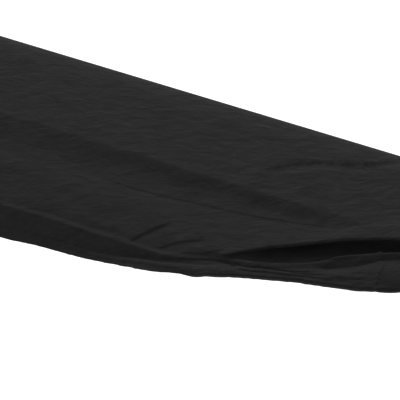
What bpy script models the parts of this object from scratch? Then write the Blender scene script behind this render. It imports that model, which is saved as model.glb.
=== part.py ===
"""A fitted stretch-cloth dust cover for a long slim keyboard instrument: one hollow sheet.

Metres, +Z up, +X along the length, +Y to the back. The origin is under the cloth, where the cover
rests on what it hides: half way along, a little ahead of the back edge. Tables are in millimetres.
"""
import math

import bmesh
import bpy
import numpy as np

MM = 0.001

# Driving dimensions. The length is at the top's rim; the skirts bulge a little past it.
LENGTH = 1310 * MM
CORNER_RADIUS = 33 * MM
BACK_EDGE_Y = 72.5 * MM
TOP_Z = 2.8 * MM
BACK_HEM_Z = -72 * MM
CLOTH = 2.0 * MM
HEM_ROLL = 4.4 * MM

# Spacing of the sections along X: fine over the lifted front, coarser to the ends
FINE_REACH = 360 * MM
FINE_STEP = 19 * MM
COARSE_STEP = 44 * MM
FAN_STEPS = 4

# The front of the sheet, a row for each section along X, in millimetres. The cloth comes forward over
# the lip, turns back under it into the valley, and rises to the crest. Below the crest lies the groove
# above the hem band, whose cloth swells to a ridge before the hem. fold is 0 where this is one smooth
# slope, 1 where it overhangs.
FRONT_COLUMNS = ("x", "fold", "lip_y", "lip_z", "valley_y", "valley_z", "crest_y", "crest_z",
                 "groove_y", "groove_z", "ridge_y", "ridge_z", "hem_y", "hem_z")
FRONT = (
    (-622, 0.00, -135, -6.5, -155, -9.5, -188, -14, -196, -23.6, -201.5, -31.5, -205.5, -39.5),
    (-425, 0.00, -145, -7.5, -168, -11, -190, -14, -198, -23.5, -203, -31.5, -206.3, -39),
    (-380, 0.00, -148, -7.5, -169, -11, -187.4, -14, -196, -24, -200.8, -30.4, -203, -36.6),
    (-335, 0.00, -150, -7.5, -170, -11, -186.6, -14, -196, -25.2, -201, -28.8, -202, -34.4),
    (-305, 0.00, -154, -7.3, -171, -10.6, -186, -13.9, -194.5, -24, -201.5, -25.2, -201.5, -31),
    (-280, 0.00, -159, -7.5, -174, -10.5, -186.8, -13.2, -192.3, -20, -202.3, -20.4, -200.5, -28),
    (-255, 0.00, -165, -8, -177, -10.4, -187.2, -11.9, -190.4, -15.8, -202.3, -15.5, -200.5, -24),
    (-235, 0.00, -168, -8, -176, -9.8, -182.7, -11.2, -184.8, -13.5, -198.4, -13.4, -200.3, -18.8),
    (-215, 0.00, -165.5, -7, -169.5, -9.4, -173.7, -10.8, -175.8, -12.3, -194, -11.3, -199.4, -14.5),
    (-200, 0.04, -163, -6.6, -164.6, -8.7, -167, -10.7, -169, -12.3, -189, -8.9, -195.5, -10),
    (-185, 0.35, -149.5, -5, -149, -9.2, -161.8, -10, -165.4, -12, -181, -9.1, -187.5, -10.2),
    (-170, 0.75, -136.5, -3.4, -130, -9, -158, -8.6, -163.5, -10.4, -174, -9, -179.7, -10.1),
    (-150, 1.00, -121, -1.9, -109.5, -8.8, -151.4, -6.5, -157.8, -8.6, -165, -8.8, -171, -10.1),
    (-130, 1.00, -106.6, 0, -94.5, -8, -139.4, -6.3, -146.5, -8.2, -155, -8, -162.5, -9.3),
    (-120, 1.00, -100, 1.3, -88, -7.2, -129, -6.9, -137.5, -9, -150.5, -8.4, -159, -10),
    (-110, 1.00, -93.6, 2.4, -82.5, -6.4, -118.5, -4.4, -129, -11.6, -146, -8.2, -156, -10.1),
    (-90, 1.00, -83, 3.9, -73.5, -4.4, -102.3, -3.6, -114, -10.5, -136, -7.2, -150.5, -10),
    (-70, 1.00, -74.8, 6, -66.5, -2.4, -88.8, -2.6, -95.3, -7.6, -124, -5.6, -143.5, -10.3),
    (-50, 1.00, -70.8, 7.5, -63.5, -1.6, -78.5, -1.8, -85.5, -6.8, -112, -5, -134, -10.5),
    (-30, 1.00, -69.3, 7.8, -62.5, -1.4, -76, -1.6, -83, -6.6, -104, -5, -121, -10.5),
    (0, 1.00, -68.3, 8, -62, -1.2, -75, -1.4, -82, -6.4, -99, -5.2, -113, -10.5),
    (60, 1.00, -68.3, 8, -62, -1.4, -76, -1.6, -83, -6.6, -99, -5.4, -112, -10.5),
    (120, 1.00, -77.8, 6.8, -69, -3, -90, -2.8, -97, -9, -113, -6.8, -126, -10.4),
    (175, 1.00, -97, 4, -86, -6.6, -121, -5, -128, -10.6, -141, -8.6, -149, -10.4),
    (225, 0.85, -123, -0.2, -112.5, -8.2, -146, -7.6, -154.5, -9.4, -162.5, -9.4, -168, -10.8),
    (270, 0.45, -146, -3.2, -147, -8.8, -160, -9.6, -164.5, -12, -179, -9.6, -184, -11.8),
    (310, 0.05, -163, -6.6, -168.5, -9.2, -174, -10.8, -177, -12.6, -195.5, -12.8, -198, -17.5),
    (350, 0.00, -161, -8, -175, -10.4, -186, -12.6, -191, -17, -201, -19.2, -201, -26.5),
    (420, 0.00, -149, -7.5, -169, -11, -187.5, -14, -196, -23.6, -201.5, -29, -203.5, -35),
    (622, 0.00, -135, -6.5, -155, -9.5, -188, -14, -196, -23.6, -201.5, -31.5, -205.5, -39.5),
)

# Where the cloth overhangs, (y, z) in millimetres from the lip to its nose and to its underside. The
# layer below lies lower than the valley's turn, and lowest this far behind the crest.
LIP_TO_NOSE = (-1.4, -1.9)
LIP_TO_UNDER = (5.0, -5.2)
FLOOR_DROP = 7.0
FLOOR_BEHIND = 7.5

# Behind the lip the top lies flat as far as its edge, steps softly down to its foot and levels out to its
# toe. Millimetres, a row for each place along X.
STEP_COLUMNS = ("x", "edge_y", "foot_y", "foot_z", "toe_y", "toe_z")
STEP = (
    (-622, -82, -106, -2.8, -122, -4.0),
    (-500, -70, -96, -4.2, -115, -6.0),
    (-440, -69, -93, -4.2, -112, -6.0),
    (-390, -69, -89, -3.8, -109, -6.0),
    (-348, -67, -84, -3.8, -108, -6.0),
    (-299, -69, -86, -3.8, -105, -6.0),
    (-260, -66, -81, -3.5, -100.5, -5.4),
    (-216, -66, -80, -3.3, -94.5, -4.7),
    (-175, -65, -79, -2.9, -87.5, -3.6),
    (-150, -65, -79, -1.6, -87, -2.2),
    (-125, -62, -77, 0.5, -85, 0.6),
    (-100, -40, -56, 3.0, -68, 3.9),
    (-70, -34, -44, 4.0, -56, 5.5),
    (-40, -30, -40, 4.8, -52, 6.3),
    (90, -30, -40, 4.8, -52, 6.3),
    (170, -50, -62, 2.2, -76, 3.0),
    (225, -60, -76, -1.4, -95, -2.0),
    (300, -62, -80, -3.0, -106, -4.2),
    (460, -64, -86, -3.4, -112, -4.6),
    (622, -82, -106, -2.8, -122, -4.0),
)
PANEL_Y = -12
PANEL_Z = 3.0
EDGE_DROP = 0.3

# From the toe to the lip the cloth lies a little above a straight line: shares of the way, and the
# height there in millimetres where the front is smooth and where it is folded
ON_THE_WAY = (0.33, 0.62, 0.86)
SMOOTH_SWELL = (0.7, 1.3, 0.9)
FOLDED_SWELL = (0.1, 0.3, 0.3)

# Slack in the cloth of the top: height of its low waves, and their lengths along X and Y
SLACK = 0.5
SLACK_ALONG = 310
SLACK_ACROSS = 130

# The plain skirt of the ends and the back: how far out it is from the corner's axis, and its share of
# the way down from the top to the hem
PLAIN_OUT = (0, 20, 31, 36, 38, 35)
PLAIN_DOWN = (0.0, 0.025, 0.085, 0.27, 0.62, 1.0)
PLAIN_STEPS = (2, 2, 2, 3, 2)

# Steps of mesh between neighbouring control points of a section, back to front
TOP_STEPS = (1, 2, 2, 2, 1, 1, 1, 2, 2, 2, 3)
SKIRT_STEPS = (3, 2, 2, 2, 2)


def clear_scene():
    for item in list(bpy.data.objects):
        bpy.data.objects.remove(item, do_unlink=True)


def columns(names, rows):
    """A table's columns, by name."""
    return dict(zip(names, np.array(rows, float).T))


def smooth_value(x, xs, values):
    """A cubic through the table's values that never runs past them."""
    steps = np.diff(values) / np.diff(xs)
    slopes = np.zeros(len(xs))
    for i in range(1, len(xs) - 1):
        if steps[i - 1] * steps[i] > 0:
            slopes[i] = 2 * steps[i - 1] * steps[i] / (steps[i - 1] + steps[i])
    i = int(np.clip(np.searchsorted(xs, x) - 1, 0, len(xs) - 2))
    width = xs[i + 1] - xs[i]
    t = (x - xs[i]) / width
    start = (1 + 2 * t) * (1 - t) ** 2 * values[i] + t * t * (3 - 2 * t) * values[i + 1]
    return start + width * (t * (1 - t) ** 2 * slopes[i] - t * t * (1 - t) * slopes[i + 1])


def row_at(table, x):
    """A table's row at any x, by name."""
    return {name: smooth_value(x / MM, table["x"], values) for name, values in table.items()}


def mix(a, b, share):
    """The point that is this share of the way from a to b."""
    return np.array(a, float) * (1 - share) + np.array(b, float) * share


def spline(points, steps):
    """A centripetal Catmull-Rom curve through the points, with a count of steps for each span."""
    points = [np.array(p, float) for p in points]
    points = [2 * points[0] - points[1]] + points + [2 * points[-1] - points[-2]]
    curve = [points[1]]
    for i, count in enumerate(steps):
        a, b, c, d = points[i:i + 4]
        t1 = math.sqrt(np.linalg.norm(b - a))
        t2 = t1 + math.sqrt(np.linalg.norm(c - b))
        t3 = t2 + math.sqrt(np.linalg.norm(d - c))
        for k in range(1, count + 1):
            t = t1 + (t2 - t1) * k / count
            ab = a + (b - a) * t / t1
            bc = b + (c - b) * (t - t1) / (t2 - t1)
            cd = c + (d - c) * (t - t2) / (t3 - t2)
            abc = ab + (bc - ab) * t / t2
            bcd = bc + (cd - bc) * (t - t1) / (t3 - t1)
            curve.append(abc + (bcd - abc) * (t - t1) / (t2 - t1))
    return curve


def top_point(x, y, z):
    """(y, z) of a point on the top, with the low waves of its slack, which fade out to the ends."""
    wave = math.sin(2 * math.pi * (x / MM / SLACK_ALONG + y / SLACK_ACROSS))
    return np.array((y, z + SLACK * wave * math.cos(math.pi * x / LENGTH)))


def front_points(x):
    """Control points of the section at x, in millimetres: flat panel to valley, then on to the hem."""
    row = row_at(columns(FRONT_COLUMNS, FRONT), x)
    step = row_at(columns(STEP_COLUMNS, STEP), x)
    fold = row["fold"]
    lip, valley, crest, groove, ridge, hem = (
        np.array((row[name + "_y"], row[name + "_z"]))
        for name in ("lip", "valley", "crest", "groove", "ridge", "hem"))
    panel = top_point(x, PANEL_Y, PANEL_Z)
    edge = top_point(x, step["edge_y"], PANEL_Z - EDGE_DROP)
    foot = top_point(x, step["foot_y"], step["foot_z"])
    toe = top_point(x, step["toe_y"], step["toe_z"])
    climb = [mix(toe, lip, share) + (0, float(mix(smooth, folded, fold)))
             for share, smooth, folded in zip(ON_THE_WAY, SMOOTH_SWELL, FOLDED_SWELL)]
    nose = mix(mix(lip, valley, 1 / 3), lip + LIP_TO_NOSE, fold)
    under = mix(mix(lip, valley, 2 / 3), lip + LIP_TO_UNDER, fold)
    floor = (crest[0] + FLOOR_BEHIND, valley[1] - FLOOR_DROP)
    rise = mix(mix(valley, crest, 1 / 2), floor, fold)
    top = [panel, edge, foot, toe, *climb, lip, nose, under, valley]
    return top, [rise, crest, groove, ridge, hem]


def plain_skirt(start, top_z, hem_z, side):
    """(place across, z) of a plain skirt that begins at its corner's axis and runs out to one side."""
    points = [(out, (top_z + (hem_z - top_z) * down) / MM) for out, down in zip(PLAIN_OUT, PLAIN_DOWN)]
    return [(start + side * out * MM, z * MM) for out, z in spline(points, PLAIN_STEPS)]


def section(x):
    """(y, z) of one section in metres, from the back hem to the front hem, and where its skirts start."""
    axis_y = BACK_EDGE_Y - CORNER_RADIUS
    back = plain_skirt(axis_y, TOP_Z, BACK_HEM_Z, 1)
    top, skirt = front_points(x)
    front = spline([(axis_y / MM, TOP_Z / MM)] + top + skirt, TOP_STEPS + SKIRT_STEPS)
    curve = back[::-1] + [tuple(point * MM) for point in front[1:]]
    first = len(back) - 1
    return curve, first, first + sum(TOP_STEPS)


def stations():
    """The X of each section, from end to end."""
    reach = LENGTH / 2 - CORNER_RADIUS
    fine = np.linspace(-FINE_REACH, FINE_REACH, round(2 * FINE_REACH / FINE_STEP) + 1)
    coarse = np.linspace(FINE_REACH, reach, round((reach - FINE_REACH) / COARSE_STEP) + 1)[1:]
    return list(-coarse[::-1]) + list(fine) + list(coarse)


def add_grid(shape, rows):
    """Adds a grid of points, a row at a time, with a face between each four."""
    points = [[shape.verts.new(p) for p in row] for row in rows]
    for near, far in zip(points, points[1:]):
        for i in range(len(near) - 1):
            shape.faces.new((near[i], near[i + 1], far[i + 1], far[i]))


def corner_fan(reach, axis_y, long_side, end_side):
    """Rows of a rounded corner, turning about its axis from a long side's skirt to the end's skirt."""
    rows = []
    for k in range(FAN_STEPS + 1):
        turn = math.pi / 2 * k / FAN_STEPS
        share = math.sin(turn) ** 2
        row = []
        for (y, z), (x, _, end_z) in zip(long_side, end_side):
            out_x = mix(abs(y - axis_y), abs(x - reach), share) * math.copysign(math.sin(turn), reach)
            out_y = mix(abs(y - axis_y), abs(x - reach), share) * math.copysign(math.cos(turn), axis_y)
            row.append((reach + out_x, axis_y + out_y, mix(z, end_z, share)))
        rows.append(row)
    return rows


def add_end(shape, side):
    """One end of the cover: its skirt, and the two rounded corners that join it to the long sides."""
    reach = side * (LENGTH / 2 - CORNER_RADIUS)
    curve, first, last = section(reach)
    back_y = curve[first][0]
    front_y = curve[last][0]
    front_hem_z = curve[-1][1]
    rows = []
    for y, z in curve[first:last + 1]:
        share = (y - front_y) / (back_y - front_y)
        hem_z = front_hem_z + (BACK_HEM_Z - front_hem_z) * share
        rows.append([(x, y, down) for x, down in plain_skirt(reach, z, hem_z, side)])
    add_grid(shape, rows)
    add_grid(shape, corner_fan(reach, front_y, curve[last:], rows[-1]))
    add_grid(shape, corner_fan(reach, back_y, curve[first::-1], rows[0]))


def cover_cloth():
    """The open surface of the whole cover, its outer side, as a mesh object."""
    shape = bmesh.new()
    add_grid(shape, [[(x, y, z) for y, z in section(x)[0]] for x in stations()])
    for side in (-1, 1):
        add_end(shape, side)
    bmesh.ops.remove_doubles(shape, verts=shape.verts, dist=1e-6)
    bmesh.ops.recalc_face_normals(shape, faces=shape.faces)
    shape.verts.index_update()
    hem = [point.index for point in shape.verts if point.is_boundary]
    mesh = bpy.data.meshes.new("cover")
    shape.to_mesh(mesh)
    shape.free()
    item = bpy.data.objects.new("cover", mesh)
    group = item.vertex_groups.new(name="hem")
    group.add(hem, 1.0, "REPLACE")
    mesh.shade_smooth()
    return item


def cloth_material():
    """Matte black knit."""
    material = bpy.data.materials.new("black stretch knit")
    material.use_nodes = True
    shader = material.node_tree.nodes["Principled BSDF"]
    shader.inputs["Base Color"].default_value = (0.016, 0.016, 0.017, 1.0)
    shader.inputs["Roughness"].default_value = 0.9
    shader.inputs["Metallic"].default_value = 0.0
    return material


def main():
    """The cover in its own collection, with the thickness of its cloth and its thicker hem."""
    clear_scene()
    collection = bpy.data.collections.new("piano cover")
    bpy.context.scene.collection.children.link(collection)
    cover = cover_cloth()
    cover.data.materials.append(cloth_material())
    thickness = cover.modifiers.new("cloth thickness", "SOLIDIFY")
    thickness.thickness = HEM_ROLL
    thickness.offset = -1
    thickness.vertex_group = "hem"
    thickness.thickness_vertex_group = CLOTH / HEM_ROLL
    collection.objects.link(cover)


main()
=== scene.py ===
import math
import random

import bmesh
import bpy
import numpy as np
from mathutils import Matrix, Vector


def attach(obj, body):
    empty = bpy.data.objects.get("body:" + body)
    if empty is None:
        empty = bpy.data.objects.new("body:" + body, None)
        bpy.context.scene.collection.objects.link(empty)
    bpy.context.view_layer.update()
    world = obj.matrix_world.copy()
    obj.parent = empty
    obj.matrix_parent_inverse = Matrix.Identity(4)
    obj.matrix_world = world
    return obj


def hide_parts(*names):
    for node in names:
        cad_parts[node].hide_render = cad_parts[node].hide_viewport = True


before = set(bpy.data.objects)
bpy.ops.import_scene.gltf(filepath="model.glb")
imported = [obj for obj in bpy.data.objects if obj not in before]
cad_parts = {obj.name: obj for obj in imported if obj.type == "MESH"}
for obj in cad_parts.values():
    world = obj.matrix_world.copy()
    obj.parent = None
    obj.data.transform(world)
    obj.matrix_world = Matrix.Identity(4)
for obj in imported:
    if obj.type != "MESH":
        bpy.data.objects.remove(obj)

bpy.ops.object.select_all(action="DESELECT")
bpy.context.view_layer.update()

# Camera
# A long lens looks down along the front of the cover from its right, so near that both ends of the long
# cloth run out of the square picture.
AZIMUTH = math.radians(31.43)
ELEVATION = math.radians(31.62)
CAMERA_DISTANCE = 2.595
PICTURE_PIXELS = 400
FOCAL_PIXELS = 2733
SENSOR_MM = 36
LOOKED_AT = Vector((-0.276, -0.082, -0.016))

backwards = Vector((math.sin(AZIMUTH) * math.cos(ELEVATION),
                    -math.cos(AZIMUTH) * math.cos(ELEVATION), math.sin(ELEVATION)))
bpy.ops.object.camera_add(location=LOOKED_AT + backwards * CAMERA_DISTANCE)
camera = bpy.context.object
camera.name = "camera"
camera.rotation_euler = backwards.to_track_quat("Z", "Y").to_euler()
camera.data.sensor_width = SENSOR_MM
camera.data.lens = FOCAL_PIXELS / PICTURE_PIXELS * SENSOR_MM
camera.data.clip_end = 50
bpy.context.scene.camera = camera

# The cloth sheet
# One sheet of black stretch knit over a hard flat top, its corners rounded by the stretch and its hem
# turned over an elastic. The front hem has been lifted and pushed back, so that the cloth of the top
# rolls forward over a hollow and the hem band stands up before it.
MM = 0.001
LENGTH = 1310 * MM
CORNER_RADIUS = 33 * MM
BACK_EDGE_Y = 72.5 * MM
TOP_Z = 2.8 * MM
BACK_HEM_Z = -72 * MM
CLOTH = 2.0 * MM
HEM_ROLL = 4.4 * MM

# Sections along X: fine where the hem is lifted and in view, coarser to the ends
FINE_FROM = -410 * MM
FINE_TO = 370 * MM
FINE_STEP = 4 * MM
COARSE_STEP = 14 * MM
FAN_STEPS = 12

# The front, a row for each section in millimetres. The cloth comes forward over the lip, turns back
# under it into the valley, rises to the crest and falls to the groove, and the hem band swells to a
# ridge before the hem. fold is 0 where this is one smooth slope and 1 where it overhangs.
FRONT_COLUMNS = ("x", "fold", "lip_y", "lip_z", "valley_y", "valley_z", "crest_y", "crest_z",
                 "groove_y", "groove_z", "ridge_y", "ridge_z", "hem_y", "hem_z")
FRONT = (
    (-622, 0.00, -135, -6.5, -155, -9.5, -188, -14, -196, -23.6, -201.5, -31.5, -205.5, -39.5),
    (-425, 0.00, -145, -7.5, -168, -11, -190, -14, -198, -23.5, -203, -31.5, -206.3, -39),
    (-380, 0.00, -148, -7.5, -169, -11, -187.4, -14, -196, -24, -200.8, -30.4, -203, -36.6),
    (-335, 0.00, -150, -7.5, -170, -11, -186.6, -14, -196, -25.2, -201, -28.8, -202, -34.4),
    (-305, 0.00, -154, -7.3, -171, -10.6, -186, -13.9, -194.5, -24, -201.5, -25.2, -201.5, -31),
    (-280, 0.00, -159, -7.5, -174, -10.5, -186.8, -13.2, -192.3, -20, -202.3, -20.4, -200.5, -28),
    (-255, 0.00, -165, -8, -177, -10.4, -187.2, -11.9, -190.4, -15.8, -202.3, -15.5, -200.5, -24),
    (-235, 0.00, -168, -8, -176, -9.8, -182.7, -11.2, -184.8, -13.5, -198.4, -13.4, -200.3, -18.8),
    (-215, 0.00, -165.5, -7, -169.5, -9.4, -173.7, -10.8, -175.8, -12.3, -194, -11.3, -199.4, -14.5),
    (-200, 0.04, -163, -6.6, -164.6, -8.7, -167, -10.7, -169, -12.3, -189, -8.9, -195.5, -10),
    (-185, 0.35, -149.5, -5, -149, -9.2, -161.8, -10, -165.4, -12, -181, -9.1, -187.5, -10.2),
    (-170, 0.75, -136.5, -3.4, -130, -9, -158, -8.6, -163.5, -10.4, -174, -9, -179.7, -10.1),
    (-150, 1.00, -121, -1.9, -109.5, -8.8, -151.4, -6.5, -157.8, -8.6, -165, -8.8, -171, -10.1),
    (-130, 1.00, -106.6, 0, -94.5, -8, -139.4, -6.3, -146.5, -8.2, -155, -8, -162.5, -9.3),
    (-120, 1.00, -100, 1.3, -88, -7.2, -129, -6.9, -137.5, -9, -150.5, -8.4, -159, -10),
    (-110, 1.00, -93.6, 2.4, -82.5, -6.4, -118.5, -4.4, -129, -11.6, -146, -8.2, -156, -10.1),
    (-90, 1.00, -83, 3.9, -73.5, -4.4, -102.3, -3.6, -114, -10.5, -136, -7.2, -150.5, -10),
    (-70, 1.00, -74.8, 6, -66.5, -2.4, -88.8, -2.6, -95.3, -7.6, -124, -5.6, -143.5, -10.3),
    (-50, 1.00, -70.8, 7.5, -63.5, -1.6, -78.5, -1.8, -85.5, -6.8, -112, -5, -134, -10.5),
    (-30, 1.00, -69.3, 7.8, -62.5, -1.4, -76, -1.6, -83, -6.6, -104, -5, -121, -10.5),
    (0, 1.00, -68.3, 8, -62, -1.2, -75, -1.4, -82, -6.4, -99, -5.2, -113, -10.5),
    (60, 1.00, -68.3, 8, -62, -1.4, -76, -1.6, -83, -6.6, -99, -5.4, -112, -10.5),
    (120, 1.00, -77.8, 6.8, -69, -3, -90, -2.8, -97, -9, -113, -6.8, -126, -10.4),
    (175, 1.00, -97, 4, -86, -6.6, -121, -5, -128, -10.6, -141, -8.6, -149, -10.4),
    (225, 0.85, -123, -0.2, -112.5, -8.2, -146, -7.6, -154.5, -9.4, -162.5, -9.4, -168, -10.8),
    (270, 0.45, -146, -3.2, -147, -8.8, -160, -9.6, -164.5, -12, -179, -9.6, -184, -11.8),
    (310, 0.05, -163, -6.6, -168.5, -9.2, -174, -10.8, -177, -12.6, -195.5, -12.8, -198, -17.5),
    (350, 0.00, -161, -8, -175, -10.4, -186, -12.6, -191, -17, -201, -19.2, -201, -26.5),
    (420, 0.00, -149, -7.5, -169, -11, -187.5, -14, -196, -23.6, -201.5, -29, -203.5, -35),
    (622, 0.00, -135, -6.5, -155, -9.5, -188, -14, -196, -23.6, -201.5, -31.5, -205.5, -39.5),
)

# Where the cloth overhangs, (y, z) in millimetres from the lip to its nose and to its underside. The
# layer below lies lower than the valley's turn, and lowest this far behind the crest.
LIP_TO_NOSE = (-1.4, -1.9)
LIP_TO_UNDER = (5.0, -5.2)
FLOOR_DROP = 7.0
FLOOR_BEHIND = 7.5

# Bends: how near the crest and the groove the cloth has turned. Where the front is folded, the crest has
# a round brow instead: a share of the way to the groove, and its height as a share of the drop to it.
CREST_BEND = 1.7
GROOVE_BEND = 2.0
BROW_SHARE = 0.4
BROW_LIFT = 0.22

# Behind the lip the top lies flat as far as its edge, steps softly down to its foot and levels out to
# its toe. Millimetres.
STEP_COLUMNS = ("x", "edge_y", "foot_y", "foot_z", "toe_y", "toe_z")
STEP = (
    (-622, -82, -106, -2.8, -122, -4.0),
    (-500, -70, -96, -4.2, -115, -6.0),
    (-440, -69, -93, -4.2, -112, -6.0),
    (-390, -69, -89, -3.8, -109, -6.0),
    (-348, -67, -84, -3.8, -108, -6.0),
    (-299, -69, -86, -3.8, -105, -6.0),
    (-260, -66, -81, -3.5, -100.5, -5.4),
    (-216, -66, -80, -3.3, -94.5, -4.7),
    (-175, -65, -79, -2.9, -87.5, -3.6),
    (-150, -65, -79, -1.6, -87, -2.2),
    (-125, -62, -77, 0.5, -85, 0.6),
    (-100, -40, -56, 3.0, -68, 3.9),
    (-70, -34, -44, 4.0, -56, 5.5),
    (-40, -30, -40, 4.8, -52, 6.3),
    (90, -30, -40, 4.8, -52, 6.3),
    (170, -50, -62, 2.2, -76, 3.0),
    (225, -60, -76, -1.4, -95, -2.0),
    (300, -62, -80, -3.0, -106, -4.2),
    (460, -64, -86, -3.4, -112, -4.6),
    (622, -82, -106, -2.8, -122, -4.0),
)
PANEL_Y = -12
PANEL_Z = 3.0
EDGE_DROP = 0.3
EDGE_BEND = 5.0
ON_THE_WAY = (0.33, 0.62, 0.86)
SMOOTH_SWELL = (0.7, 1.3, 0.9)
FOLDED_SWELL = (0.1, 0.3, 0.3)

# Slack in the cloth of the top: height of its low waves, and their lengths along X and Y
SLACK = 0.5
SLACK_ALONG = 310
SLACK_ACROSS = 130

# The plain skirt of the ends and the back: how far out it is from the corner's axis, and its share of
# the way down from the top to the hem
PLAIN_OUT = (0, 20, 31, 36, 38, 35)
PLAIN_DOWN = (0.0, 0.025, 0.085, 0.27, 0.62, 1.0)
PLAIN_STEPS = (5, 6, 6, 8, 8)

# Steps of mesh between neighbouring control points of a section, back to front
TOP_STEPS = (6, 8, 3, 8, 8, 5, 5, 5, 5, 4, 5, 6)
SKIRT_STEPS = (6, 5, 2, 2, 3, 2, 7, 6)

# Points nearer to each other than this are merged where the parts of the sheet meet
MERGE_WITHIN = 1e-6

# Past any distance from the crest: marks the ends and corners, which the front's creases don't reach
FAR = 9.0


def columns(names, rows):
    """A table's columns, by name."""
    return dict(zip(names, np.array(rows, float).T))


def smooth_value(x, xs, values):
    """A cubic through the table's values that never runs past them."""
    steps = np.diff(values) / np.diff(xs)
    slopes = np.zeros(len(xs))
    for i in range(1, len(xs) - 1):
        if steps[i - 1] * steps[i] > 0:
            slopes[i] = 2 * steps[i - 1] * steps[i] / (steps[i - 1] + steps[i])
    i = int(np.clip(np.searchsorted(xs, x) - 1, 0, len(xs) - 2))
    width = xs[i + 1] - xs[i]
    t = (x - xs[i]) / width
    start = (1 + 2 * t) * (1 - t) ** 2 * values[i] + t * t * (3 - 2 * t) * values[i + 1]
    return start + width * (t * (1 - t) ** 2 * slopes[i] - t * t * (1 - t) * slopes[i + 1])


def row_at(table, x):
    """A table's row at any x, by name."""
    return {name: smooth_value(x / MM, table["x"], values) for name, values in table.items()}


def mix(a, b, share):
    """The point that is this share of the way from a to b."""
    return np.array(a, float) * (1 - share) + np.array(b, float) * share


def near(a, b, distance):
    """The point this far from a on the way to b, or half way where b is nearer than that."""
    gap = float(np.linalg.norm(np.array(b, float) - a))
    return mix(a, b, min(0.5, distance / gap))


def spline(points, steps):
    """A centripetal Catmull-Rom curve through the points, with a count of steps for each span."""
    points = [np.array(p, float) for p in points]
    points = [2 * points[0] - points[1]] + points + [2 * points[-1] - points[-2]]
    curve = [points[1][None]]
    for i, count in enumerate(steps):
        a, b, c, d = points[i:i + 4]
        t1 = math.sqrt(np.linalg.norm(b - a))
        t2 = t1 + math.sqrt(np.linalg.norm(c - b))
        t3 = t2 + math.sqrt(np.linalg.norm(d - c))
        t = (t1 + (t2 - t1) * np.arange(1, count + 1) / count)[:, None]
        ab = a + (b - a) * t / t1
        bc = b + (c - b) * (t - t1) / (t2 - t1)
        cd = c + (d - c) * (t - t2) / (t3 - t2)
        abc = ab + (bc - ab) * t / t2
        bcd = bc + (cd - bc) * (t - t1) / (t3 - t1)
        curve.append(abc + (bcd - abc) * (t - t1) / (t2 - t1))
    return np.concatenate(curve)


def top_point(x, y, z):
    """(y, z) of a point on the top, with the low waves of its slack, which fade out to the ends."""
    wave = math.sin(2 * math.pi * (x / MM / SLACK_ALONG + y / SLACK_ACROSS))
    return np.array((y, z + SLACK * wave * math.cos(math.pi * x / LENGTH)))


def front_points(x):
    """Control points of the section at x, in millimetres: flat panel to valley, then on to the hem."""
    row = row_at(columns(FRONT_COLUMNS, FRONT), x)
    step = row_at(columns(STEP_COLUMNS, STEP), x)
    fold = row["fold"]
    lip, valley, crest, groove, ridge, hem = (
        np.array((row[name + "_y"], row[name + "_z"]))
        for name in ("lip", "valley", "crest", "groove", "ridge", "hem"))
    panel = top_point(x, PANEL_Y, PANEL_Z)
    edge = top_point(x, step["edge_y"], PANEL_Z - EDGE_DROP)
    foot = top_point(x, step["foot_y"], step["foot_z"])
    toe = top_point(x, step["toe_y"], step["toe_z"])
    climb = [mix(toe, lip, share) + (0, float(mix(smooth, folded, fold)))
             for share, smooth, folded in zip(ON_THE_WAY, SMOOTH_SWELL, FOLDED_SWELL)]
    nose = mix(mix(lip, valley, 1 / 3), lip + LIP_TO_NOSE, fold)
    under = mix(mix(lip, valley, 2 / 3), lip + LIP_TO_UNDER, fold)
    floor = (crest[0] + FLOOR_BEHIND, valley[1] - FLOOR_DROP)
    rise = mix(mix(valley, crest, 1 / 2), floor, fold)
    drop = crest[1] - groove[1]
    brow = mix(near(crest, groove, CREST_BEND),
               mix(crest, groove, BROW_SHARE) + (0, BROW_LIFT * drop), fold)
    top = [panel, near(edge, panel, EDGE_BEND), edge, foot, toe, *climb, lip, nose, under, valley]
    skirt = [rise, near(crest, rise, CREST_BEND), crest, brow, groove,
             near(groove, ridge, GROOVE_BEND), ridge, hem]
    return top, skirt


def plain_skirt(start, top_z, hem_z, side):
    """(place across, z) of a plain skirt that begins at its corner's axis and runs out to one side."""
    points = [(out, (top_z + (hem_z - top_z) * down) / MM) for out, down in zip(PLAIN_OUT, PLAIN_DOWN)]
    curve = spline(points, PLAIN_STEPS) * MM
    return np.stack((start + side * curve[:, 0], curve[:, 1]), axis=1)


def section(x):
    """(y, z) of one section in metres, from the back hem to the front hem, and where its skirts start."""
    axis_y = BACK_EDGE_Y - CORNER_RADIUS
    back = plain_skirt(axis_y, TOP_Z, BACK_HEM_Z, 1)
    top, skirt = front_points(x)
    front = spline([(axis_y / MM, TOP_Z / MM)] + top + skirt, TOP_STEPS + SKIRT_STEPS) * MM
    first = len(back) - 1
    return np.concatenate((back[::-1], front[1:])), first, first + sum(TOP_STEPS)


def stations():
    """The X of each section, from end to end."""
    reach = LENGTH / 2 - CORNER_RADIUS
    left = np.linspace(-reach, FINE_FROM, round((reach + FINE_FROM) / COARSE_STEP) + 1)[:-1]
    fine = np.linspace(FINE_FROM, FINE_TO, round((FINE_TO - FINE_FROM) / FINE_STEP) + 1)
    right = np.linspace(FINE_TO, reach, round((reach - FINE_TO) / COARSE_STEP) + 1)[1:]
    return np.concatenate((left, fine, right))


def lengths(points):
    """How far along the row each of its points is, in metres."""
    gaps = np.linalg.norm(np.diff(points, axis=0), axis=1)
    return np.concatenate(((0,), np.cumsum(gaps)))


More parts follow.
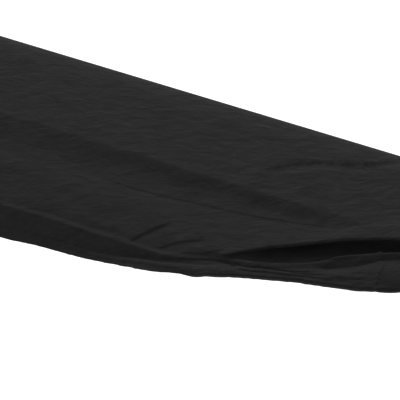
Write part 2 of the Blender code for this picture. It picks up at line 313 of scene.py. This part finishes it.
def add_grid(shape, rows, flats):
    """Adds a grid of points, a row at a time, with a face between each four. flats holds each point's
    place on the cloth laid flat, and how far it is past the crest towards the hem."""
    layer = shape.verts.layers.float_vector["flat"]
    points = []
    for row, flat in zip(rows, flats):
        points.append([])
        for place, on_cloth in zip(row, flat):
            vert = shape.verts.new(place)
            vert[layer] = on_cloth
            points[-1].append(vert)
    for one, other in zip(points, points[1:]):
        for i in range(len(one) - 1):
            shape.faces.new((one[i], one[i + 1], other[i + 1], other[i]))


def corner_fan(reach, axis_y, long_side, end_side, centre_v):
    """Rows and flat places of a rounded corner, from a long side's skirt round to the end's skirt."""
    rows = []
    flats = []
    for k in range(FAN_STEPS + 1):
        turn = math.pi / 2 * k / FAN_STEPS
        share = math.sin(turn) ** 2
        out = mix(np.abs(long_side[:, 0] - axis_y), np.abs(end_side[:, 0] - reach), share)
        z = mix(long_side[:, 1], end_side[:, 2], share)
        x = reach + out * math.copysign(math.sin(turn), reach)
        y = axis_y + out * math.copysign(math.cos(turn), axis_y)
        row = np.stack((x, y, z), axis=1)
        along = lengths(row)
        rows.append(row)
        flats.append(np.stack((reach + along * math.copysign(math.sin(turn), reach),
                               centre_v + along * math.copysign(math.cos(turn), axis_y),
                               np.full(len(row), FAR)), axis=1))
    return rows, flats


def add_end(shape, side):
    """One end of the cover: its skirt, and the two rounded corners that join it to the long sides. Gives
    back the rows that run down to the hem, from the front round to the back."""
    reach = side * (LENGTH / 2 - CORNER_RADIUS)
    curve, first, last = section(reach)
    along = lengths(curve)
    v = along[-1] - along
    front_hem_z = curve[-1, 1]
    rows = []
    flats = []
    for (y, z), place in zip(curve[first:last + 1], v[first:last + 1]):
        share = (y - curve[last, 0]) / (curve[first, 0] - curve[last, 0])
        hem_z = front_hem_z + (BACK_HEM_Z - front_hem_z) * share
        skirt = plain_skirt(reach, z, hem_z, side)
        out = lengths(skirt)
        rows.append(np.stack((skirt[:, 0], np.full(len(skirt), y), skirt[:, 1]), axis=1))
        flats.append(np.stack((reach + side * out, np.full(len(out), place), np.full(len(out), FAR)),
                              axis=1))
    add_grid(shape, rows, flats)
    front_corner = corner_fan(reach, curve[last, 0], curve[last:], rows[-1], v[last])
    back_corner = corner_fan(reach, curve[first, 0], curve[first::-1], rows[0], v[first])
    add_grid(shape, *front_corner)
    add_grid(shape, *back_corner)
    return front_corner[0][1:] + rows[-2::-1] + back_corner[0][-2::-1]


# Creases. The cloth falls by this depth across the crease, to the right as the line runs, over twice the
# width, and comes back up over the length of the ease. Millimetres. Those of the top run through (x, y),
# those of the front through (x, height above the hem along the cloth).
CREASE_COLUMNS = ("depth", "width", "ease", "line")
TOP_CREASES = (
    (1.7, 1.0, 9, ((-242, -34), (-224, -14), (-203, 7), (-184, 17), (-164, 28), (-136, 52))),
    (0.6, 1.6, 9, ((-292, 0), (-271, 20), (-254, 26), (-233, 34))),
    (0.3, 1.6, 8, ((-349, -11), (-330, -3), (-310, 4))),
    (0.3, 1.4, 7, ((-262, 47), (-249, 51), (-234, 55))),
    (0.4, 1.6, 8, ((-203, -25), (-193, -24), (-182, -22))),
    (0.3, 1.6, 9, ((-174, -18), (-161, -7), (-149, 1), (-120, 14))),
    (0.3, 1.5, 7, ((-342, -185), (-329, -183), (-315, -181))),
    (0.4, 1.4, 6, ((-437, -188), (-428, -179), (-418, -171))),
    (0.75, 1.0, 5, ((-385, -109), (-350, -110), (-326, -110), (-284, -105.5), (-243, -100), (-203, -94),
                   (-165, -85.5), (-120, -78.5))),
    (1.7, 1.0, 8, ((-293, -184), (-286, -171), (-280.5, -162), (-276, -154), (-268, -143))),
    (1.6, 1.0, 8, ((-262, -182), (-255, -173), (-248.5, -167), (-243, -162.5), (-237, -158), (-226, -152))),
    (0.9, 1.1, 6, ((-243, -178), (-222, -171), (-212.5, -165), (-202, -157))),
)
FRONT_CREASES = (
    (0.9, 2.3, 5, ((-225, 28), (-245, 29), (-284, 31), (-328, 30.6), (-372, 32.2), (-416, 34.4),
                   (-470, 36))),
    (0.5, 1.0, 3, ((-470, 11), (-416, 10.5), (-372, 11.5), (-328, 10.5), (-290, 9), (-262, 8.5))),
    (1.2, 3.3, 3, ((-186, 13), (-205, 15), (-225, 13), (-240, 13), (-255, 15), (-280, 14), (-296, 11),
                   (-322, 9))),
    (1.3, 0.8, 4, ((-206, 27), (-195, 26), (-187, 21.5), (-180, 12), (-172, 8.6), (-162, 7), (-150, 7.3),
                   (-139, 5.2), (-131, 5), (-117, 6.4), (-98, 5.8), (-86, 7))),
    (1.2, 0.8, 3, ((-194, 25), (-186, 23), (-176, 18.4), (-166, 16.4), (-154, 14.2), (-143, 12),
                   (-132, 10.6), (-122, 13), (-112, 13.4))),
    (1.1, 0.8, 3, ((-136, 8.2), (-124, 9), (-114, 10), (-107, 13), (-100, 14.4))),
    (0.8, 0.9, 3, ((-92, 19), (-83, 19.9), (-72, 20.8), (-60, 20))),
    (1.2, 0.9, 3, ((-100, 9.2), (-90, 9.6), (-82, 11.2), (-74, 12.6), (-65, 14), (-54, 13))),
    (1.0, 0.9, 3, ((-92, 8.2), (-84, 7), (-76.5, 5.6), (-68, 5.4))),
    (0.9, 1.2, 4, ((-66, 8.4), (-58, 7.4), (-40, 5), (-22, 4.6), (10, 5), (60, 5.4))),
    (1.5, 1.0, 2.4, ((-117, 37), (-110, 39), (-105, 40.6), (-98, 44), (-90, 49))),
)

# A crease tapers off over one part in this many of its length at each end, and has no effect past this
# many eases from its line
CREASE_TAPER = 4
EASE_REACH = 2.5

# The creases of the top stop this far behind the crest, and take only cloth that faces upwards. Those of
# the front reach this far behind it.
TOP_STOPS = 2 * MM
UPWARDS = 0.5
FRONT_STARTS = 14 * MM

# Steps of a crease's smooth line between neighbouring points of it
LINE_STEPS = 6

# The mesh is cut finer near a crease: within so many of its widths on the top and on the front, and once
# more within fewer widths of a crease of the top that is deeper than so many millimetres. The cuts of the
# front end this many millimetres from the crest.
TOP_CUT = 2.2
FRONT_CUT = 1.8
SHARP_CUT = 1.4
SHARP_DEPTH = 0.7
FRONT_REACH = 80

# The seam across the lifted hem: a low rib, from the crest down to the hem, where it fades out.
# Millimetres.
SEAM_LINE = ((-78, 58), (-75, 53), (-72.6, 46), (-66.5, 34), (-63.8, 24), (-63.2, 17.7), (-60.6, 9),
             (-58, 1))
SEAM_HEIGHT = 1.2
SEAM_WIDTH = 1.3
SEAM_FADE = 8

# Puckers that the elastic draws in the hem band, in millimetres: height, how far up they reach, and the
# number of soft waves that make them, each with its length, slant and start from a seeded choice
PUCKER = 0.2
PUCKER_REACH = 13
PUCKER_WAVES = 9
PUCKER_LENGTHS = (7, 24)
PUCKER_SLANTS = (-0.8, 0.8)
PUCKER_STARTS = (0, 6)
SEED = 11


def to_line(points, line):
    """Each point's distance from a smooth line, positive on its left, and its share of the way along."""
    curve = spline(line, [LINE_STEPS] * (len(line) - 1))
    along = lengths(curve)
    nearest = np.full(len(points), np.inf)
    signed = np.zeros(len(points))
    share = np.zeros(len(points))
    for start, end, before, after in zip(curve, curve[1:], along, along[1:]):
        step = end - start
        t = np.clip((points - start) @ step / (step @ step), 0, 1)
        gap = points - start - t[:, None] * step
        distance = np.linalg.norm(gap, axis=1)
        closer = distance < nearest
        nearest[closer] = distance[closer]
        side = np.sign(step[0] * gap[:, 1] - step[1] * gap[:, 0])
        signed[closer] = (side * distance)[closer]
        share[closer] = (before + t * (after - before))[closer] / along[-1]
    return signed, share


def crease_height(points, depth, width, ease, line):
    """Height that one crease gives each point, in millimetres, tapered to nothing at its ends."""
    signed, share = to_line(points, line)
    taper = np.sin(np.clip(CREASE_TAPER * np.minimum(share, 1 - share), 0, 1) * math.pi / 2)
    past = width - signed
    fall = np.clip(past / (2 * width), 0, 1)
    fall = fall * fall * (3 - 2 * fall)
    back_up = np.exp(-(np.maximum(past - 2 * width, 0) / ease) ** 2)
    beyond = np.clip(np.abs(signed) / ease - EASE_REACH, 0, 1)
    return -depth * taper * fall * back_up * (1 - beyond)


def refine(shape, layer, wanted):
    """Cuts in two each edge whose middle the test wants, to give a narrow crease the points it needs."""
    middles = np.array([(edge.verts[0][layer] + edge.verts[1][layer]) / 2 for edge in shape.edges]) / MM
    places = np.array([(edge.verts[0].co + edge.verts[1].co) / 2 for edge in shape.edges]) / MM
    chosen = wanted(middles, places)
    edges = [edge for edge, take in zip(list(shape.edges), chosen) if take]
    bmesh.ops.subdivide_edges(shape, edges=edges, cuts=1, use_grid_fill=True)
    bmesh.ops.triangulate(shape, faces=[face for face in shape.faces if len(face.verts) > 4])


def near_crease(flat, places):
    """Whether each place is within reach of a crease or of the seam."""
    on_top = np.zeros(len(places), bool)
    for crease in TOP_CREASES:
        row = dict(zip(CREASE_COLUMNS, crease))
        on_top |= np.abs(to_line(places[:, :2], row["line"])[0]) < TOP_CUT * row["width"]
    on_front = np.abs(to_line(flat[:, :2], SEAM_LINE)[0]) < TOP_CUT * SEAM_WIDTH
    for crease in FRONT_CREASES:
        row = dict(zip(CREASE_COLUMNS, crease))
        on_front |= np.abs(to_line(flat[:, :2], row["line"])[0]) < FRONT_CUT * row["width"]
    return (on_top & (flat[:, 2] < 0)) | (on_front & (np.abs(flat[:, 2]) < FRONT_REACH))


def near_sharp_line(flat, places):
    """Whether each place is close to the seam or to a sharp crease of the top, for a second cut."""
    by_seam = np.abs(to_line(flat[:, :2], SEAM_LINE)[0]) < FRONT_CUT * SEAM_WIDTH
    wanted = by_seam & (np.abs(flat[:, 2]) < FRONT_REACH)
    for crease in TOP_CREASES:
        row = dict(zip(CREASE_COLUMNS, crease))
        if row["depth"] > SHARP_DEPTH:
            signed = to_line(places[:, :2], row["line"])[0]
            wanted |= (np.abs(signed) < SHARP_CUT * row["width"]) & (flat[:, 2] < 0)
    return wanted


def puckers(flat):
    """Height of the puckers at each flat place, in millimetres."""
    choose = random.Random(SEED)
    wave = np.zeros(len(flat))
    for i in range(PUCKER_WAVES):
        length = choose.uniform(*PUCKER_LENGTHS)
        along = flat[:, 0] + choose.uniform(*PUCKER_SLANTS) * flat[:, 1]
        wave += np.sin(2 * math.pi * along / length + choose.uniform(*PUCKER_STARTS))
    reach = np.clip(1 - flat[:, 1] / PUCKER_REACH, 0, 1)
    return PUCKER * wave / math.sqrt(PUCKER_WAVES / 2) * reach * (flat[:, 2] < FAR / MM / 2)


shape = bmesh.new()
flat_layer = shape.verts.layers.float_vector.new("flat")
rows = []
flats = []
for x in stations():
    curve, first, last = section(x)
    along = lengths(curve)
    v = along[-1] - along
    crest_index = last + sum(SKIRT_STEPS[:3])
    rows.append([(x, y, z) for y, z in curve])
    flats.append([(x, place, v[crest_index] - place) for place in v])
add_grid(shape, rows, flats)
left_rows = add_end(shape, -1)
right_rows = add_end(shape, 1)
# The rows that end at the hem, all the way round: the front, the right end, the back and the left end
hem_rows = ([np.array(row) for row in rows] + right_rows + [np.array(row[::-1]) for row in rows[-2::-1]]
            + left_rows[::-1])
bmesh.ops.remove_doubles(shape, verts=shape.verts, dist=MERGE_WITHIN)
bmesh.ops.recalc_face_normals(shape, faces=shape.faces)
refine(shape, flat_layer, near_crease)
refine(shape, flat_layer, near_sharp_line)
shape.normal_update()

# Puckers, creases and the seam move each point along its normal
places = np.array([vert.co for vert in shape.verts])
flat_places = np.array([vert[flat_layer] for vert in shape.verts])
normals = np.array([vert.normal for vert in shape.verts])
height = puckers(flat_places / MM)
on_top = (flat_places[:, 2] < -TOP_STOPS) & (normals[:, 2] > UPWARDS)
for crease in TOP_CREASES:
    height[on_top] += crease_height(places[on_top, :2] / MM, *crease)
on_front = (flat_places[:, 2] > -FRONT_STARTS) & (flat_places[:, 2] < FAR / 2)
for crease in FRONT_CREASES:
    height[on_front] += crease_height(flat_places[on_front, :2] / MM, *crease)
from_seam = to_line(flat_places[on_front, :2] / MM, SEAM_LINE)[0]
fade = np.clip(flat_places[on_front, 1] / MM / SEAM_FADE, 0, 1)
height[on_front] += SEAM_HEIGHT * fade * np.exp(-(from_seam / SEAM_WIDTH) ** 2)
for vert, up, normal in zip(shape.verts, height, normals):
    vert.co += Vector(normal * up * MM)

# The sheet gets its thickness downwards and inwards, and is thicker at the turned hem
uv_layer = shape.loops.layers.uv.new("cloth laid flat")
for face in shape.faces:
    for loop in face.loops:
        loop[uv_layer].uv = loop.vert[flat_layer].xy
shape.verts.index_update()
hem_points = [vert.index for vert in shape.verts if vert.is_boundary]
mesh = bpy.data.meshes.new("cover_cloth")
shape.to_mesh(mesh)
shape.free()
cover = bpy.data.objects.new("cover_cloth", mesh)
bpy.context.scene.collection.objects.link(cover)
group = cover.vertex_groups.new(name="hem")
group.add(hem_points, 1.0, "REPLACE")
thickness = cover.modifiers.new("cloth thickness", "SOLIDIFY")
thickness.thickness = HEM_ROLL
thickness.offset = -1
thickness.vertex_group = "hem"
thickness.thickness_vertex_group = CLOTH / HEM_ROLL
bpy.context.view_layer.objects.active = cover
bpy.ops.object.modifier_apply(modifier=thickness.name)
cover.data.shade_smooth()

# Streaks and crumples lie at this angle to the length of the cloth, in radians
CRUMPLE_TURN = 0.42


def add_node(tree, kind, **settings):
    """A new node of a material's tree, with its settings and the values of its sockets."""
    item = tree.nodes.new(kind)
    for name, value in settings.items():
        if hasattr(item, name):
            setattr(item, name, value)
        else:
            item.inputs[name.replace("_", " ")].default_value = value
    return item


cloth = bpy.data.materials.new("black stretch knit")
cloth.use_nodes = True
tree = cloth.node_tree
links = tree.links
shader = tree.nodes["Principled BSDF"]
shader.inputs["Roughness"].default_value = 0.85
shader.inputs["Specular IOR Level"].default_value = 0.05
shader.inputs["Sheen Weight"].default_value = 0.03
shader.inputs["Sheen Roughness"].default_value = 0.45
laid_flat = add_node(tree, "ShaderNodeUVMap", uv_map="cloth laid flat").outputs["UV"]

# Tone: broad soft patches, and short streaks along the length of the knit
patches = add_node(tree, "ShaderNodeTexNoise", Scale=34.0, Detail=3.0, Roughness=0.55)
links.new(laid_flat, patches.inputs["Vector"])
stretch = add_node(tree, "ShaderNodeMapping", vector_type="TEXTURE", Rotation=(0.0, 0.0, CRUMPLE_TURN),
                   Scale=(0.011, 0.0031, 1.0))
links.new(laid_flat, stretch.inputs["Vector"])
streaks = add_node(tree, "ShaderNodeTexNoise", Scale=1.0, Detail=4.0, Roughness=0.65)
links.new(stretch.outputs["Vector"], streaks.inputs["Vector"])
tone = add_node(tree, "ShaderNodeMath", operation="MULTIPLY_ADD")
links.new(patches.outputs["Fac"], tone.inputs[0])
tone.inputs[1].default_value = 0.6
links.new(streaks.outputs["Fac"], tone.inputs[2])
ramp = add_node(tree, "ShaderNodeValToRGB")
darkest, palest = ramp.color_ramp.elements
darkest.position = 0.45
darkest.color = (0.0050, 0.0050, 0.0051, 1.0)
palest.position = 1.0
palest.color = (0.0096, 0.0096, 0.0098, 1.0)
links.new(tone.outputs[0], ramp.inputs["Fac"])

# Painted light: the colour grows paler towards the back edge, standing in for the light that the back edge
# catches from behind
object_place = add_node(tree, "ShaderNodeTexCoord")
axes = add_node(tree, "ShaderNodeSeparateXYZ")
links.new(object_place.outputs["Object"], axes.inputs[0])
# painted highlight: the base colour is scaled up towards the back edge
painted_back_light = add_node(tree, "ShaderNodeMapRange", From_Min=0.02, From_Max=0.07, To_Min=1.0, To_Max=1.3)
links.new(axes.outputs["Y"], painted_back_light.inputs["Value"])
paler = add_node(tree, "ShaderNodeVectorMath", operation="SCALE")
links.new(ramp.outputs["Color"], paler.inputs[0])
links.new(painted_back_light.outputs["Result"], paler.inputs["Scale"])
links.new(paler.outputs["Vector"], shader.inputs["Base Color"])

# Relief: rows of small knitted loops, and the uneven surface of cloth that has been folded away
courses = add_node(tree, "ShaderNodeTexWave", wave_type="BANDS", bands_direction="Y", Scale=240.0,
                   Distortion=1.2, Detail=1.0, Detail_Scale=300.0)
wales = add_node(tree, "ShaderNodeTexWave", wave_type="BANDS", bands_direction="X", Scale=285.0,
                 Distortion=0.8, Detail=1.0, Detail_Scale=300.0)
links.new(laid_flat, courses.inputs["Vector"])
links.new(laid_flat, wales.inputs["Vector"])
loops = add_node(tree, "ShaderNodeMath", operation="MULTIPLY")
links.new(courses.outputs["Fac"], loops.inputs[0])
links.new(wales.outputs["Fac"], loops.inputs[1])
knit = add_node(tree, "ShaderNodeBump", Strength=0.5, Distance=0.00012)
links.new(loops.outputs[0], knit.inputs["Height"])
crumple = add_node(tree, "ShaderNodeMapping", vector_type="TEXTURE", Rotation=(0.0, 0.0, CRUMPLE_TURN),
                   Scale=(0.021, 0.0145, 1.0))
links.new(laid_flat, crumple.inputs["Vector"])
uneven = add_node(tree, "ShaderNodeTexNoise", Scale=1.0, Detail=3.0, Roughness=0.55, Distortion=0.4)
links.new(crumple.outputs["Vector"], uneven.inputs["Vector"])
surface = add_node(tree, "ShaderNodeBump", Strength=1.0, Distance=0.0029)
links.new(uneven.outputs["Fac"], surface.inputs["Height"])
links.new(knit.outputs["Normal"], surface.inputs["Normal"])
links.new(surface.outputs["Normal"], shader.inputs["Normal"])
cover.data.materials.append(cloth)

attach(cover, "root")
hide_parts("cover")

# Hem stitching
# One row of short straight stitches of black thread all round, above the turned hem. Each is a low half
# round lying on the cloth, placed along the rows of the sheet that run down to the hem.
STITCH_IN = 11.0 * MM
STITCH_PITCH = 4.2 * MM
STITCH_LENGTH = 3.0 * MM
STITCH_WIDTH = 0.8 * MM
STITCH_HEIGHT = 0.2 * MM
STITCH_WANDER = 0.1 * MM
STITCH_SHARES = (-0.5, -0.3, 0.0, 0.3, 0.5)


def in_from_hem(row, distance):
    """The point of a row that is this far along the cloth from its hem end."""
    along = lengths(row)
    return [np.interp(along[-1] - distance, along, row[:, axis]) for axis in range(3)]


def add_stitch(shape, places, ups, along):
    """A low half round over the places: a point at each end and a left, top and right between them."""
    across = [Vector(up).cross(along).normalized() * STITCH_WIDTH / 2 for up in ups]
    ends = [shape.verts.new(places[0]), shape.verts.new(places[-1])]
    ribs = []
    for place, up, side in list(zip(places, ups, across))[1:-1]:
        ribs.append([shape.verts.new(place + side), shape.verts.new(place + up * STITCH_HEIGHT),
                     shape.verts.new(place - side)])
    for end, rib in ((ends[0], ribs[0]), (ends[1], ribs[-1][::-1])):
        for one, other in ((0, 1), (1, 2), (2, 0)):
            shape.faces.new((end, rib[one], rib[other]))
    for rib, after in zip(ribs, ribs[1:]):
        for one, other in ((0, 1), (1, 2), (2, 0)):
            shape.faces.new((rib[one], after[one], after[other], rib[other]))


line = np.array([in_from_hem(row, STITCH_IN) for row in hem_rows])
line = np.concatenate((line, line[:1]))
along = lengths(line)
count = round(along[-1] / STITCH_PITCH)
thread_shape = bmesh.new()
choose = random.Random(SEED)
for i in range(count):
    middle = (i + 0.5) * along[-1] / count + choose.uniform(-1, 1) * STITCH_WANDER
    places = []
    ups = []
    for share in STITCH_SHARES:
        at = middle + share * STITCH_LENGTH
        wanted = Vector([np.interp(at, along, line[:, axis]) for axis in range(3)])
        place, up = cover.closest_point_on_mesh(wanted)[1:3]
        places.append(place)
        ups.append(up)
    add_stitch(thread_shape, places, ups, (places[-1] - places[0]).normalized())
bmesh.ops.recalc_face_normals(thread_shape, faces=thread_shape.faces)
thread_mesh = bpy.data.meshes.new("hem_stitching")
thread_shape.to_mesh(thread_mesh)
thread_shape.free()
stitching = bpy.data.objects.new("hem_stitching", thread_mesh)
bpy.context.scene.collection.objects.link(stitching)
stitching.data.shade_smooth()

thread = bpy.data.materials.new("black thread")
thread.use_nodes = True
tree = thread.node_tree
links = tree.links
shader = tree.nodes["Principled BSDF"]
shader.inputs["Roughness"].default_value = 0.6
shader.inputs["Specular IOR Level"].default_value = 0.05
object_place = add_node(tree, "ShaderNodeTexCoord")
ply = add_node(tree, "ShaderNodeTexNoise", Scale=1500.0)
links.new(object_place.outputs["Object"], ply.inputs["Vector"])
ply_tone = add_node(tree, "ShaderNodeMapRange", To_Min=0.005, To_Max=0.009)
links.new(ply.outputs["Fac"], ply_tone.inputs["Value"])
links.new(ply_tone.outputs["Result"], shader.inputs["Base Color"])
twist = add_node(tree, "ShaderNodeBump", Distance=0.0001)
links.new(ply.outputs["Fac"], twist.inputs["Height"])
links.new(twist.outputs["Normal"], shader.inputs["Normal"])
stitching.data.materials.append(thread)

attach(stitching, "root")

# Floor, light and picture
# A plain white floor at table height below the cloth, white all round, one broad soft light high up and
# a little behind, and a weak one low in front.
FLOOR_Z = -0.75
FLOOR_SIZE = 14
LIGHTS = (
    # name, place, size, energy
    ("key light", (-0.8, 1.4, 2.1), 2.4, 66),
    ("front light", (-0.5, -1.7, 0.1), 0.7, 12),
)

bpy.ops.mesh.primitive_plane_add(size=FLOOR_SIZE, location=(0, 0, FLOOR_Z))
floor = bpy.context.object
floor.name = "floor"
white = bpy.data.materials.new("white floor")
white.use_nodes = True
shader = white.node_tree.nodes["Principled BSDF"]
shader.inputs["Base Color"].default_value = (0.92, 0.92, 0.92, 1.0)
shader.inputs["Roughness"].default_value = 0.9
floor.data.materials.append(white)

world = bpy.data.worlds.new("studio")
bpy.context.scene.world = world
world.use_nodes = True
background = world.node_tree.nodes["Background"]
background.inputs["Color"].default_value = (1.0, 1.0, 1.0, 1.0)
background.inputs["Strength"].default_value = 0.83

for name, place, size, energy in LIGHTS:
    bpy.ops.object.light_add(type="AREA", location=place)
    light = bpy.context.object
    light.name = name
    light.data.size = size
    light.data.energy = energy
    light.rotation_euler = (Vector(place) - LOOKED_AT).to_track_quat("Z", "Y").to_euler()
bpy.context.scene.view_settings.view_transform = "Standard"
